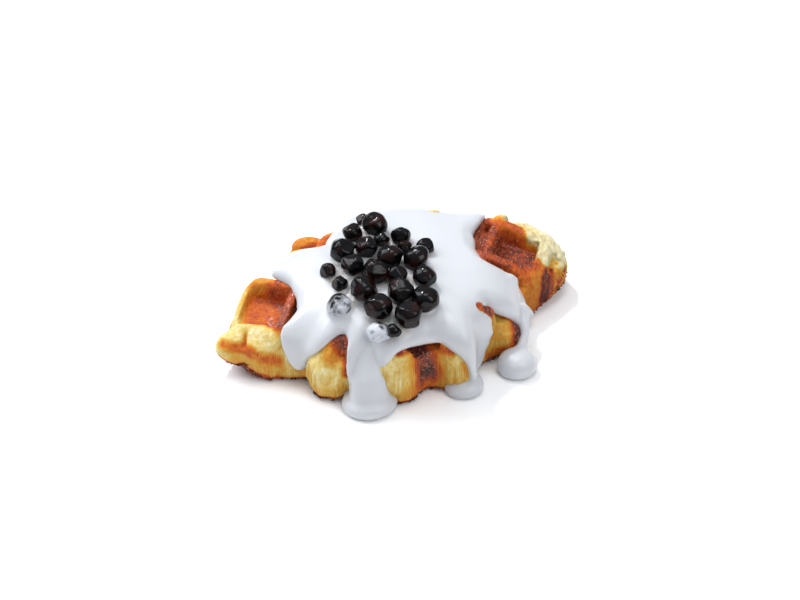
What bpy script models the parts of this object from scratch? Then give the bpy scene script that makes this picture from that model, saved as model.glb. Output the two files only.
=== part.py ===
"""Croffle: rolled croissant dough pressed in a waffle iron, under a coat of cream sauce with a heap of
tapioca pearls. Lengths are worked out in millimetres and turned to metres at the end."""

import math

import bmesh
import bpy
import numpy as np
from mathutils import Matrix, Vector, noise
from mathutils.bvhtree import BVHTree

MM = 0.001

# The pressed dough. Angles go round the heart of the piece, from its right end towards its back.
HEART = (2.0, 4.0)
THICKNESS = 27.5
WAIST = 10.5
END_DROP = 0.15
END_DROP_POWER = 2.2
END_TILT = 0.009
TILT_START = 20.0
TILT_FULL = 55.0
TILT_LIMIT = 0.2
HALF_LENGTH = 68.0
MIDLINE_START = 8.0
MIDLINE_SLOPE = 0.157
RIM_POWER = 9.0
SHOULDER_POWER = 2.2
RIM_POWER_BELOW = 14.0
FOOT_POWER = 6.0
# Both ends curl up off the table: where the curl starts, where it is full, and its height. It fades out
# up the side of the dough.
LEFT_CURL = (-53.0, -69.0, 5.0)
RIGHT_CURL = (52.0, 70.0, 2.8)
CURL_TOP = 18.0
# Each pair is an angle in degrees and how far the dough reaches there: two blunt ends, and the lobes
# that swelled out between the teeth of the iron.
OUTLINE = (
    (3, 68), (10.5, 71.5), (19, 69.7), (27, 64), (32, 54), (42, 46.2),
    (58, 43), (75, 40), (92, 39), (111, 40), (126, 42.5), (137, 46.5),
    (146, 46), (154, 43), (162, 46.5), (169, 57.5), (175, 60), (180, 62.3),
    (184, 64), (188, 65), (193, 63), (199, 59), (206, 49.5), (212, 45.5), (223, 49.5), (234, 45),
    (244, 38.5), (252, 42), (260, 44.5), (275.5, 38.5), (286, 43), (292, 45.5),
    (301, 39), (315, 40.5), (328, 46), (341, 45), (350, 49.5), (355.5, 56.5),
    (359, 62),
)

# The waffle iron: square tapered teeth on a grid that lies slantwise across the piece.
PITCH = 20.0
GRID_TURN = -30.6
GRID_CORNER = (-48.8, 0.6)
TOOTH_TIP = 14.0
TOOTH_ROOT = 17.0
TOP_POCKET = 8.5
UNDER_POCKET = 6.0
UNDER_INSET = 9.0
TOOTH_LENGTH = 16.0

# Puffs of dough that swelled out past the teeth: middle, then half sizes.
PUFFS = (
    ((-60.5, -6.2, 10.8), (7.2, 5.6, 9.6)),
    ((-50.5, -11.5, 17.3), (7.0, 5.0, 5.2)),
    ((-25.5, 33.0, 19.8), (7.0, 4.5, 5.0)),
    ((-30.5, -25.0, 11.5), (7.0, 7.0, 11.5)),
    ((-9.0, -32.0, 11.5), (7.0, 8.0, 12.0)),
    ((15.5, -33.0, 10.0), (6.5, 6.5, 9.5)),
    ((37.8, -19.2, 9.5), (7.8, 6.3, 9.0)),
    ((26.0, -23.3, 22.4), (2.8, 2.4, 8.2)),
    ((29.0, -22.9, 21.4), (4.2, 2.1, 7.2)),
    ((37.5, 21.0, 20.5), (6.5, 7.5, 5.0)),
    ((38.5, 27.0, 21.5), (4.5, 5.0, 4.5)),
    ((22.6, 31.0, 26.0), (4.8, 2.0, 6.6)),
)
# Torn flakes stand out from the bottom rim, from this share of the outline outwards.
FLAKE_REACH = 1.1
FLAKE_MEAN = 0.7
FLAKE_VARIETY = 0.9
FLAKE_HEIGHT = 2.2
FLAKE_SPACING = 3.1
FLAKE_START = 0.86
FLAKE_FADE = 0.08

# The cream: each pair is an angle and how far the coat runs, measured along the skin of the dough.
CREAM_EDGE = (
    (1, 32.3), (7, 31.8), (16, 34), (25.5, 39), (28.5, 44.5), (31, 49), (38, 52), (48, 50),
    (62, 46), (78, 44), (92, 45), (104, 42), (112.5, 36.5), (124, 33),
    (135, 31.7), (146, 32.6), (150.3, 38.5), (152, 43.5), (158, 46), (166, 45), (170.5, 46),
    (176, 42.1), (179, 40.4), (184, 39.9), (193, 40.7), (199.5, 45.6), (201.0, 50), (204.5, 54),
    (207.5, 58.7), (209.5, 59.9), (211.7, 57.6), (215, 52), (219, 49), (222, 45.6), (226, 39.5), (228.5, 38.6),
    (231.5, 39.8), (233.5, 43), (234.8, 50), (236, 60), (238, 66), (247, 66), (249.3, 60),
    (251, 51.1), (255.5, 43.7), (261.5, 41), (267.5, 39.6), (276, 38.6), (282.5, 40.9), (285.5, 44.5),
    (289, 49.2), (290.5, 53), (292.5, 60), (295, 64), (306.5, 62), (309, 55.8), (310, 53),
    (312.5, 49.5), (314.5, 45), (315.8, 40), (317, 37), (318.8, 38.5), (324.5, 45.3), (329, 51.3),
    (331.5, 55.6), (334, 61), (343, 62), (345.3, 60), (346.3, 50), (347.5, 48), (349.2, 47.4),
    (350.4, 46.4), (350.8, 41), (351.4, 38), (353, 35.4), (357, 32.8),
)
COAT = 3.2
COAT_LIP = 5.0
MOUND = 3.6
MOUND_REACH = 34.0
UNDER_LIP = 1.6
POCKET_FILL = 8.5
FILL_START = 2.0
FILL_REACH = 8.0
# The skin of the dough is walked outwards from its top in stations; a slope is taken over a short step.
STATIONS = 260
LOWEST_TILT = -78.0
SLOPE_STEP = 1.5
LAST_STEP = 2.0
RIM_STEP = 1.5
# The drips: the points that each one passes, each with its half width.
DRIPS = (
    (((-15.0, -28.0, 20.0), 7.5), ((-16.3, -35.5, 11.0), 7.2), ((-16.8, -37.0, 4.5), 8.0)),
    (((-23.0, -29.5, 9.0), 2.8), ((-25.4, -30.2, 4.2), 1.9)),
    (((20.8, -28.0, 15.0), 4.6), ((18.6, -33.0, 8.0), 4.0), ((17.2, -35.5, 3.8), 5.2)),
    (((44.8, -14.0, 15.0), 3.6), ((45.0, -19.2, 12.4), 2.6), ((44.6, -22.4, 10.0), 2.0),
     ((42.4, -26.2, 8.0), 2.2), ((40.5, -29.0, 6.0), 3.8)),
    (((45.5, -9.0, 13.0), 3.0), ((50.0, -6.8, 5.5), 3.2)),
)
DRIP_BEAD = (1.0, 0.7, 0.8)
DRIP_STEP = 2.0
# The puddle that each drip ends in: middle, then half sizes.
PUDDLES = (
    ((-17.0, -36.8, 2.8), (10.2, 8.6, 4.6)),
    ((18.0, -36.0, 2.6), (7.4, 6.4, 4.2)),
    ((39.5, -30.5, 3.6), (7.6, 6.8, 5.8)),
)

# The tapioca pearls, each lying where it was spooned on: middle from the left and from the front, half
# size, and the share of the half size that it has sunk into the cream.
SINK = 0.32
PEARLS = (
    (-2.5, 20.3, 4.8, SINK), (-5.6, 27.0, 2.5, SINK), (-11.4, 17.8, 3.6, SINK), (-17.0, 8.1, 4.8, SINK),
    (-8.1, 8.4, 4.2, SINK), (-1.7, 12.3, 3.0, SINK), (5.6, 12.2, 3.7, SINK), (5.5, 5.4, 2.8, SINK),
    (12.8, 4.3, 3.2, SINK), (7.9, -3.2, 4.8, SINK), (-1.2, -0.1, 4.6, SINK), (-8.2, -6.3, 4.7, SINK),
    (-15.2, -1.1, 4.2, SINK), (-24.0, 0.0, 3.0, SINK), (-21.2, -7.8, 3.0, SINK), (-13.9, -14.8, 4.8, SINK),
    (-0.7, -10.6, 3.6, SINK), (8.4, -13.3, 4.4, SINK), (-1.5, -19.1, 4.8, SINK), (6.5, -24.3, 4.6, SINK),
    (-10.9, -24.2, 4.8, SINK), (-1.4, -29.9, 4.8, SINK), (-7.2, -34.0, 2.5, -0.25), (-12.4, -30.9, 4.0, 0.8),
    (-23.6, -18.0, 4.3, 0.6),
)
SQUASH = (0.98, 0.93)
PEARL_TILT = 0.5
DENT_ROOM = 0.4
# A pearl feels for the cream below it along rings of upright lines, from well above.
FEEL_RINGS = (0.0, 0.35, 0.65, 0.9)
FEEL_LINES = 10
FEEL_FROM = 90.0

CRUST_COLOUR = (0.48, 0.21, 0.055)
CREAM_COLOUR = (0.80, 0.81, 0.84)
PEARL_COLOUR = (0.016, 0.008, 0.007)

GAP = 0.3
RELIEF = 0.35
RELIEF_SPACING = 9.0
FLAT_FOOT = 0.35
VOXEL = 0.9
CRUST_SOFTNESS = 7
# The left end was hardly pressed: its pocket is a soft hollow, from this far left and this high up.
SOFT_END = (-38.0, -46.0)
SOFT_END_HEIGHT = (11.0, 15.0)
SOFT_END_ROUNDS = 14
CREAM_SOFTNESS = 8
DOUGH_FACETS = 3500
CREAM_FACETS = 1800
FACET_EVENING = 0.5


def ring(stations):
    """A smooth closed curve through pairs of an angle in degrees and a value."""
    angle, value = (np.array(column, float) for column in zip(*stations))
    angle = np.concatenate([angle[-2:] - 360, angle, angle[:2] + 360])
    value = np.concatenate([value[-2:], value, value[:2]])
    slope = np.gradient(value, angle)

    def at(degrees):
        turn = (np.asarray(degrees, float) - angle[0]) % 360 + angle[0]
        k = np.clip(np.searchsorted(angle, turn, side="right") - 1, 0, len(angle) - 2)
        step = angle[k + 1] - angle[k]
        s = (turn - angle[k]) / step
        start = (1 + 2 * s) * (1 - s) ** 2 * value[k] + s * (1 - s) ** 2 * step * slope[k]
        return start + s * s * (3 - 2 * s) * value[k + 1] + s * s * (s - 1) * step * slope[k + 1]

    return at


def smooth_step(low, high, value):
    """Rises softly from 0 at the low end to 1 at the high end."""
    share = np.clip((value - low) / (high - low), 0, 1)
    return share * share * (3 - 2 * share)


outline = ring(OUTLINE)
cream_edge = ring(CREAM_EDGE)


def thinning(x, y):
    """The share of the full thickness that the dough keeps here: less at both ends, most at their backs."""
    out = np.abs(x - HEART[0])
    tilt = END_TILT * smooth_step(TILT_START, TILT_FULL, out) * (y - MIDLINE_START - MIDLINE_SLOPE * x)
    drop = END_DROP * np.minimum(out / HALF_LENGTH, 1.1) ** END_DROP_POWER
    return 1 - drop + np.clip(tilt, -TILT_LIMIT, TILT_LIMIT)


def curl(x, z):
    """How far this point is lifted where an end of the dough curls up off the table."""
    lift = sum(height * smooth_step(start, full, x) for start, full, height in (LEFT_CURL, RIGHT_CURL))
    return lift * np.clip(1 - z / CURL_TOP, 0, 1)


def dough_skin(degrees, tilt):
    """Points of the unpressed dough: tilt runs from 90 at the top of the heart to -90 underneath."""
    turn = np.radians(degrees)
    lean = np.radians(tilt)
    rim = np.where(lean > 0, 2 / RIM_POWER, 2 / RIM_POWER_BELOW)
    out = outline(degrees) * np.maximum(np.cos(lean), 0) ** rim
    power = np.where(lean > 0, 2 / SHOULDER_POWER, 2 / FOOT_POWER)
    depth = np.where(lean > 0, THICKNESS - WAIST, WAIST)
    z = WAIST + np.sign(lean) * depth * np.abs(np.sin(lean)) ** power
    return np.stack([HEART[0] + out * np.cos(turn), HEART[1] + out * np.sin(turn), z], -1)


def coords(mesh):
    flat = np.empty(len(mesh.vertices) * 3)
    mesh.vertices.foreach_get("co", flat)
    return flat.reshape(-1, 3)


def set_coords(mesh, points):
    mesh.vertices.foreach_set("co", np.ascontiguousarray(points, float).ravel())
    mesh.update()


def new_object(name, bm, collection):
    mesh = bpy.data.meshes.new(name)
    bm.to_mesh(mesh)
    bm.free()
    obj = bpy.data.objects.new(name, mesh)
    collection.objects.link(obj)
    return obj


def bake(obj):
    """Turns the modifiers of an object into its mesh."""
    graph = bpy.context.evaluated_depsgraph_get()
    mesh = bpy.data.meshes.new_from_object(obj.evaluated_get(graph))
    obj.modifiers.clear()
    obj.data = mesh


def soften(obj, voxel, rounds):
    """Makes one skin of all the shells in an object and rounds its edges."""
    remesh = obj.modifiers.new("one_skin", "REMESH")
    remesh.mode = "VOXEL"
    remesh.voxel_size = voxel
    smooth = obj.modifiers.new("soft_edges", "SMOOTH")
    smooth.factor = 0.5
    smooth.iterations = rounds
    bake(obj)


def thin_out(obj, facets):
    """Lowers the number of triangles to about this many, evened out, with the flat foot kept flat."""
    obj.data.calc_loop_triangles()
    decimate = obj.modifiers.new("fewer_facets", "DECIMATE")
    decimate.ratio = facets / len(obj.data.loop_triangles)
    decimate.use_collapse_triangulate = True
    even = obj.modifiers.new("even_facets", "SMOOTH")
    even.factor = FACET_EVENING
    even.iterations = 1
    bake(obj)
    points = coords(obj.data)
    points[points[:, 2] < FLAT_FOOT, 2] = 0
    set_coords(obj.data, points)


def cut_away(obj, other):
    """Takes the other object's solid out of this one."""
    cut = obj.modifiers.new("cut", "BOOLEAN")
    cut.operation = "DIFFERENCE"
    cut.solver = "EXACT"
    cut.object = other
    bake(obj)


def ellipsoid(bm, middle, half, segments=24, rings=16):
    place = Matrix.Translation(middle) @ Matrix.Diagonal((*half, 1))
    bmesh.ops.create_uvsphere(bm, u_segments=segments, v_segments=rings, radius=1, matrix=place)


def material(name, colour, roughness, coat=0.0):
    made = bpy.data.materials.new(name)
    made.use_nodes = True
    shader = made.node_tree.nodes["Principled BSDF"]
    shader.inputs["Base Color"].default_value = (*colour, 1)
    shader.inputs["Roughness"].default_value = roughness
    shader.inputs["Metallic"].default_value = 0
    shader.inputs["Coat Weight"].default_value = coat
    made.diffuse_color = (*colour, 1)
    return made


def sphere_angles(mesh):
    points = coords(mesh)
    degrees = np.degrees(np.arctan2(points[:, 1], points[:, 0]))
    tilt = np.degrees(np.arcsin(np.clip(points[:, 2], -1, 1)))
    return degrees, tilt


for left_over in list(bpy.data.objects):
    bpy.data.objects.remove(left_over, do_unlink=True)
piece = bpy.data.collections.new("croffle_with_cream_and_pearls")
helpers = bpy.data.collections.new("cutters")
for group in (piece, helpers):
    bpy.context.scene.collection.children.link(group)
helpers.hide_render = True

# The dough before pressing: a low pillow with the outline above.
shape = bmesh.new()
bmesh.ops.create_uvsphere(shape, u_segments=180, v_segments=48, radius=1)
croffle = new_object("croffle", shape, piece)
set_coords(croffle.data, dough_skin(*sphere_angles(croffle.data)))

# The teeth of the upper and the lower plate of the iron, all over the plan of the piece.
across = math.radians(GRID_TURN)
along_u = Vector((math.cos(across), math.sin(across), 0)) * PITCH
along_v = Vector((-math.sin(across), math.cos(across), 0)) * PITCH
spread = (TOOTH_ROOT - TOOTH_TIP) / TOP_POCKET * TOOTH_LENGTH
half_diagonal = math.sqrt(0.5)
shape = bmesh.new()
for column in range(-3, 9):
    for row in range(-4, 6):
        middle = Vector((*GRID_CORNER, 0)) + along_u * column + along_v * row
        from_heart = middle - Vector((*HEART, 0))
        bearing = math.degrees(math.atan2(from_heart.y, from_heart.x))
        inset = float(outline(bearing)) - from_heart.length
        plates = [(THICKNESS - TOP_POCKET, 1)] if inset > -TOOTH_ROOT / 2 else []
        plates += [(UNDER_POCKET, -1)] if inset > UNDER_INSET else []
        for tip, way in plates:
            place = Matrix.Translation(middle + Vector((0, 0, tip + way * TOOTH_LENGTH / 2)))
            place @= Matrix.Rotation(across + math.pi / 4, 4, "Z") @ Matrix.Diagonal((1, 1, way, 1))
            tooth = bmesh.ops.create_cone(
                shape, cap_ends=True, segments=4, radius1=TOOTH_TIP * half_diagonal,
                radius2=(TOOTH_TIP + spread) * half_diagonal, depth=TOOTH_LENGTH, matrix=place)
            faces = {face for vertex in tooth["verts"] for face in vertex.link_faces}
            if way < 0:
                bmesh.ops.reverse_faces(shape, faces=list(faces))
teeth = new_object("iron_teeth", shape, helpers)
teeth.display_type = "WIRE"
teeth.hide_render = True
cut_away(croffle, teeth)

# The puffs join the pressed dough, and baking rounds every edge of it.
shape = bmesh.new()
shape.from_mesh(croffle.data)
for middle, half in PUFFS:
    ellipsoid(shape, middle, half)
shape.to_mesh(croffle.data)
shape.free()
soften(croffle, VOXEL, CRUST_SOFTNESS)
points = coords(croffle.data)
hardly_pressed = smooth_step(*SOFT_END, points[:, 0]) * smooth_step(*SOFT_END_HEIGHT, points[:, 2])
end_group = croffle.vertex_groups.new(name="left_end")
for vertex, weight in enumerate(hardly_pressed):
    if weight > 0:
        end_group.add([vertex], float(weight), "REPLACE")
soft_end = croffle.modifiers.new("soft_end", "SMOOTH")
soft_end.factor = 0.5
soft_end.iterations = SOFT_END_ROUNDS
soft_end.vertex_group = "left_end"
bake(croffle)
croffle.vertex_groups.clear()

# The ends are thinner and curl up, the crust is uneven, and torn flakes stand out along the bottom rim.
points = coords(croffle.data)
normals = np.array([vertex.normal[:] for vertex in croffle.data.vertices])
swell = np.array([noise.noise(Vector(p) / RELIEF_SPACING) for p in points])
points += normals * (RELIEF * swell)[:, None]
flat = points[:, :2] - HEART
radius = np.hypot(*flat.T)
bearing = np.degrees(np.arctan2(flat[:, 1], flat[:, 0]))
ragged = np.array([noise.noise(Vector((p[0], p[1], 0)) / FLAKE_SPACING) for p in points])
at_rim = np.clip((radius / outline(bearing) - FLAKE_START) / FLAKE_FADE, 0, 1)
out = FLAKE_REACH * at_rim * (FLAKE_MEAN + FLAKE_VARIETY * ragged)
out *= np.exp(-((points[:, 2] / FLAKE_HEIGHT) ** 2))
points[:, :2] += flat / radius[:, None].clip(1) * out[:, None]
points[:, 2] = np.maximum(points[:, 2] - FLAT_FOOT, 0) * thinning(*points[:, :2].T)
points[:, 2] += curl(points[:, 0], points[:, 2])
set_coords(croffle.data, points)
thin_out(croffle, DOUGH_FACETS)


# The coat of cream follows the unpressed form of the dough, fills the pockets below it, and thins to a
# rounded lip at its edge.
def walk_skin(degrees, reach):
    """Points and normals on the dough, this far from the top of the heart along its skin."""
    tilt = np.linspace(90, LOWEST_TILT, STATIONS)
    points = np.empty((len(degrees), 3))
    normals = np.empty((len(degrees), 3))
    for angle in np.unique(degrees):
        line = dough_skin(np.full_like(tilt, angle), tilt)
        line[:, 2] = line[:, 2] * thinning(*line[:, :2].T)
        length = np.concatenate([[0], np.cumsum(np.linalg.norm(np.diff(line, axis=0), axis=1))])
        outward = np.array([math.cos(math.radians(angle)), math.sin(math.radians(angle))])
        chosen = degrees == angle
        run = np.minimum(reach[chosen], length[-1] - LAST_STEP)
        here, before, after = (
            np.stack([np.interp(run + step, length, line[:, axis]) for axis in range(3)], -1)
            for step in (0, -SLOPE_STEP, SLOPE_STEP))
        forward = np.maximum((after - before)[:, :2] @ outward, 0)
        fall = (before - after)[:, 2]
        size = np.hypot(fall, forward)
        points[chosen] = here
        normals[chosen] = np.column_stack([outward[None] * (fall / size)[:, None], forward / size])
    return points, normals


shape = bmesh.new()
bmesh.ops.create_uvsphere(shape, u_segments=240, v_segments=56, radius=1)
cream = new_object("cream", shape, piece)
degrees, tilt = sphere_angles(cream.data)
share = 1 - np.abs(tilt) / 90
reach = share * cream_edge(degrees)
points, normals = walk_skin(degrees, reach)
rim_angles = np.arange(0, 360, RIM_STEP)
rim, _ = walk_skin(rim_angles, cream_edge(rim_angles))
from_rim = np.min(np.linalg.norm(points[:, None] - rim[None], axis=2), axis=1)
from_rim[share > 0.999] = 0
lip = np.clip(from_rim / COAT_LIP, 0, 1)
mound = MOUND * np.exp(-((reach / MOUND_REACH) ** 4))
above = COAT * np.sqrt(lip * (2 - lip)) + mound * lip
below = UNDER_LIP * np.sqrt(lip * (2 - lip)) + POCKET_FILL * smooth_step(
    FILL_START, FILL_START + FILL_REACH, from_rim)
points += normals * np.where(tilt > 0, above, -below)[:, None]
set_coords(cream.data, points)

# The drips and the puddles that they end in join the coat.
shape = bmesh.new()
for stops in DRIPS:
    for (start, wide), (end, narrow) in zip(stops, stops[1:]):
        steps = max(2, round((Vector(end) - Vector(start)).length / DRIP_STEP))
        for k in range(steps + 1):
            half = wide + (narrow - wide) * k / steps
            bead = [half * share for share in DRIP_BEAD]
            ellipsoid(shape, Vector(start).lerp(Vector(end), k / steps), bead, 16, 10)
for middle, half in PUDDLES:
    ellipsoid(shape, middle, half)
shape.from_mesh(cream.data)
shape.to_mesh(cream.data)
shape.free()
soften(cream, VOXEL, CREAM_SOFTNESS)
points = coords(cream.data)
points[:, 2] = np.maximum(points[:, 2] - FLAT_FOOT, 0)
set_coords(cream.data, points)
thin_out(cream, CREAM_FACETS)

# The underside of the cream is the crust that it lies on, a hair clear of it.
shape = bmesh.new()
shape.from_mesh(croffle.data)
for vertex in shape.verts:
    vertex.co += vertex.normal * GAP
grown = new_object("grown_crust", shape, helpers)
grown.display_type = "WIRE"
grown.hide_render = True
cut_away(cream, grown)


# Each pearl rests on the cream at the height where its ball first touches it, a little sunk in, and the
# cream is dented round it.
def bed_height(tree, x, y, half):
    """Height of the middle of a ball that lies on the cream here."""
    height = -THICKNESS
    for share in FEEL_RINGS:
        for k in range(FEEL_LINES if share else 1):
            turn = k * math.tau / FEEL_LINES
            out = share * half
            start = Vector((x + out * math.cos(turn), y + out * math.sin(turn), FEEL_FROM))
            found = tree.ray_cast(start, Vector((0, 0, -1)))[0]
            if found:
                height = max(height, found.z + half * math.sqrt(1 - share * share))
    return height


faces = [face.vertices[:] for face in cream.data.polygons]
surface = BVHTree.FromPolygons(coords(cream.data).tolist(), faces)
chance = np.random.default_rng(5)
pearls = []
for number, (x, y, half, sink) in enumerate(PEARLS, 1):
    middle = Vector((x, y, bed_height(surface, x, y, half) - sink * half))
    turn = Matrix.Rotation(chance.uniform(0, math.tau), 4, "Z")
    turn @= Matrix.Rotation(chance.uniform(-PEARL_TILT, PEARL_TILT), 4, "X")
    place = Matrix.Translation(middle) @ turn @ Matrix.Diagonal((1, *SQUASH, 1))
    shape = bmesh.new()
    bmesh.ops.create_icosphere(shape, subdivisions=2, radius=half, matrix=place)
    pearls.append(new_object(f"pearl_{number:02d}", shape, piece))
    shape = bmesh.new()
    bmesh.ops.create_icosphere(shape, subdivisions=2, radius=half + DENT_ROOM, matrix=place)
    dent = new_object(f"dent_{number:02d}", shape, helpers)
    dent.display_type = "WIRE"
    dent.hide_render = True
    cut_away(cream, dent)

# Lengths become metres, with the middle of the whole piece above the origin and its foot at zero.
solids = [obj for obj in piece.objects]
corners = np.concatenate([coords(obj.data) for obj in solids])
low, high = corners.min(axis=0), corners.max(axis=0)
shift = np.array([(low[0] + high[0]) / 2, (low[1] + high[1]) / 2, low[2]])
for obj in solids:
    set_coords(obj.data, (coords(obj.data) - shift) * MM)
for obj in helpers.objects:
    set_coords(obj.data, (coords(obj.data) - shift) * MM)

# The browned crust, the cool white cream, and the black-brown gloss of the pearls.
for obj, finish in (
        (croffle, material("browned_crust", CRUST_COLOUR, 0.55)),
        (cream, material("cream_sauce", CREAM_COLOUR, 0.32, 0.2)),
        *((pearl, material("tapioca_" + pearl.name, PEARL_COLOUR, 0.12, 0.6)) for pearl in pearls)):
    obj.data.materials.clear()
    obj.data.materials.append(finish)
    obj.data.shade_smooth()
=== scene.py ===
"""A croffle under cream sauce and tapioca pearls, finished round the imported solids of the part.
Forms are worked out in millimetres from the heart of the pastry and set down in metres."""

import math

import bmesh
import bpy
import numpy as np
from mathutils import Matrix, Vector, noise
from mathutils.bvhtree import BVHTree


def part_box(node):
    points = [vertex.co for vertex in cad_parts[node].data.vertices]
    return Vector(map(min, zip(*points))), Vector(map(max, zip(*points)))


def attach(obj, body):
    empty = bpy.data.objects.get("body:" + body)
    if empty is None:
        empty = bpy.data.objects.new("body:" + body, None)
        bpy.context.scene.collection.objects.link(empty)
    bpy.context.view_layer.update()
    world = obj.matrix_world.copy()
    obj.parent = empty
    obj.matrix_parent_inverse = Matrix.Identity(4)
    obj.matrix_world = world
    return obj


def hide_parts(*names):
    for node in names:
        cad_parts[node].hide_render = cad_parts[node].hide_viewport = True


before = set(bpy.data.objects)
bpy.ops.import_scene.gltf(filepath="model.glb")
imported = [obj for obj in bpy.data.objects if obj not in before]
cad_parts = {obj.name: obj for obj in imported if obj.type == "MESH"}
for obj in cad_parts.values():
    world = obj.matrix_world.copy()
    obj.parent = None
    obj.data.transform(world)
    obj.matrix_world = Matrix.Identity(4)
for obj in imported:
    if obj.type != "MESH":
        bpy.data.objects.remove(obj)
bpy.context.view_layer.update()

# THE DOUGH
# Laminated croissant dough, rolled up, laid in a hot waffle iron and pressed. Square tapered teeth leave
# pockets on both sides, and between them the layers swell out as soft lobes that stay pale.
MM = 0.001
CENTRE = (2.421, -0.082)
HEART = (2.0, 4.0)
THICKNESS = 27.5
WAIST = 10.5
END_DROP = 0.15
END_DROP_POWER = 2.2
END_DROP_LIMIT = 1.1
END_TILT = 0.009
TILT_LIMIT = 0.2
# How far from the heart the tilt of an end starts, and where it is full.
TILT_RANGE = (20, 55)
HALF_LENGTH = 68.0
MIDLINE_START = 8.0
MIDLINE_SLOPE = 0.157
RIM_POWER = 9.0
SHOULDER_POWER = 2.2
RIM_POWER_BELOW = 14.0
FOOT_POWER = 6.0
# Both ends curl up off the table: where the curl starts, where it is full, and its height.
LEFT_CURL = (-53.0, -69.0, 5.0)
RIGHT_CURL = (52.0, 70.0, 2.8)
CURL_TOP = 18.0
# An angle in degrees round the heart, from the right end towards the back, and the reach of the dough.
OUTLINE = (
    (3, 68), (10.5, 71.5), (19, 69.7), (27, 64), (32, 54), (42, 46.2),
    (58, 43), (75, 40), (92, 39), (111, 40), (126, 42.5), (137, 46.5),
    (146, 46), (154, 43), (162, 46.5), (169, 57.5), (175, 60), (180, 62.3),
    (184, 64), (188, 65), (193, 63), (199, 59), (206, 49.5), (212, 45.5), (223, 49.5), (234, 45),
    (244, 38.5), (252, 42), (260, 44.5), (275.5, 38.5), (286, 43), (292, 45.5),
    (301, 39), (315, 40.5), (328, 46), (341, 45), (350, 49.5), (355.5, 56.5),
    (359, 62),
)
PITCH = 20.0
GRID_TURN = math.radians(-30.6)
GRID_CORNER = (-48.8, 0.6)
GRID_COLUMNS = range(-3, 9)
GRID_ROWS = range(-4, 6)
TOOTH_TIP = 14.0
TOOTH_ROOT = 17.0
TOOTH_LENGTH = 16.0
TOP_POCKET = 8.5
UNDER_POCKET = 6.0
UNDER_INSET = 9.0
# Puffs of dough that swelled out past the teeth: middle, then half sizes.
PUFFS = (
    ((-60.5, -6.2, 10.8), (7.2, 5.6, 9.6)),
    ((-50.5, -11.5, 17.3), (7.0, 5.0, 5.2)),
    ((-25.5, 33.0, 19.8), (7.0, 4.5, 5.0)),
    ((-30.5, -25.0, 11.5), (7.0, 7.0, 11.5)),
    ((-9.0, -32.0, 11.5), (7.0, 8.0, 12.0)),
    ((15.5, -33.0, 10.0), (6.5, 6.5, 9.5)),
    ((37.8, -19.2, 9.5), (7.8, 6.3, 9.0)),
    ((26.0, -23.3, 22.4), (2.8, 2.4, 8.2)),
    ((29.0, -22.9, 21.4), (4.2, 2.1, 7.2)),
    ((37.5, 21.0, 20.5), (6.5, 7.5, 5.0)),
    ((38.5, 27.0, 21.5), (4.5, 5.0, 4.5)),
    ((22.6, 31.0, 26.0), (4.8, 2.0, 6.6)),
)
FLAT_FOOT = 0.35
# The dough before pressing is a ball of this many segments and rings, then one skin of this mesh size.
DOUGH_SEGMENTS = 300
DOUGH_RINGS = 80
DOUGH_VOXEL = 0.66
DOUGH_ROUNDS = 6


def ring(stations):
    """A smooth closed curve through pairs of an angle in degrees and a value."""
    angle, value = (np.array(column, float) for column in zip(*stations))
    angle = np.concatenate([angle[-2:] - 360, angle, angle[:2] + 360])
    value = np.concatenate([value[-2:], value, value[:2]])
    slope = np.gradient(value, angle)

    def at(degrees):
        turn = (np.asarray(degrees, float) - angle[0]) % 360 + angle[0]
        k = np.clip(np.searchsorted(angle, turn, side="right") - 1, 0, len(angle) - 2)
        step = angle[k + 1] - angle[k]
        s = (turn - angle[k]) / step
        start = (1 + 2 * s) * (1 - s) ** 2 * value[k] + s * (1 - s) ** 2 * step * slope[k]
        return start + s * s * (3 - 2 * s) * value[k + 1] + s * s * (s - 1) * step * slope[k + 1]

    return at


def smooth_step(low, high, value):
    """A share that runs softly from 0 at low to 1 at high, which may be the smaller of the two."""
    share = np.clip((value - low) / (high - low), 0, 1)
    return share * share * (3 - 2 * share)


outline = ring(OUTLINE)


def thinning(x, y):
    """The share of the full thickness that the dough keeps here: less at both ends, most at their backs."""
    out = np.abs(x - HEART[0])
    drop = END_DROP * np.minimum(out / HALF_LENGTH, END_DROP_LIMIT) ** END_DROP_POWER
    tilt = END_TILT * smooth_step(*TILT_RANGE, out) * (y - MIDLINE_START - MIDLINE_SLOPE * x)
    return 1 - drop + np.clip(tilt, -TILT_LIMIT, TILT_LIMIT)


def curl(x, z):
    """How far this point is lifted where an end of the dough curls up off the table."""
    lift = sum(height * smooth_step(start, full, x) for start, full, height in (LEFT_CURL, RIGHT_CURL))
    return lift * np.clip(1 - z / CURL_TOP, 0, 1)


def dough_skin(degrees, tilt):
    """Points of the dough before pressing: tilt runs from 90 at the top of the heart to -90 underneath."""
    turn = np.radians(degrees)
    lean = np.radians(tilt)
    rim = np.where(lean > 0, 2 / RIM_POWER, 2 / RIM_POWER_BELOW)
    out = outline(degrees) * np.maximum(np.cos(lean), 0) ** rim
    power = np.where(lean > 0, 2 / SHOULDER_POWER, 2 / FOOT_POWER)
    depth = np.where(lean > 0, THICKNESS - WAIST, WAIST)
    z = WAIST + np.sign(lean) * depth * np.abs(np.sin(lean)) ** power
    return np.stack([HEART[0] + out * np.cos(turn), HEART[1] + out * np.sin(turn), z], -1)


def coords(mesh):
    """The points of a mesh, one row each."""
    flat = np.empty(len(mesh.vertices) * 3)
    mesh.vertices.foreach_get("co", flat)
    return flat.reshape(-1, 3)


def set_coords(mesh, points):
    mesh.vertices.foreach_set("co", np.ascontiguousarray(points, float).ravel())
    mesh.update()


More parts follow.
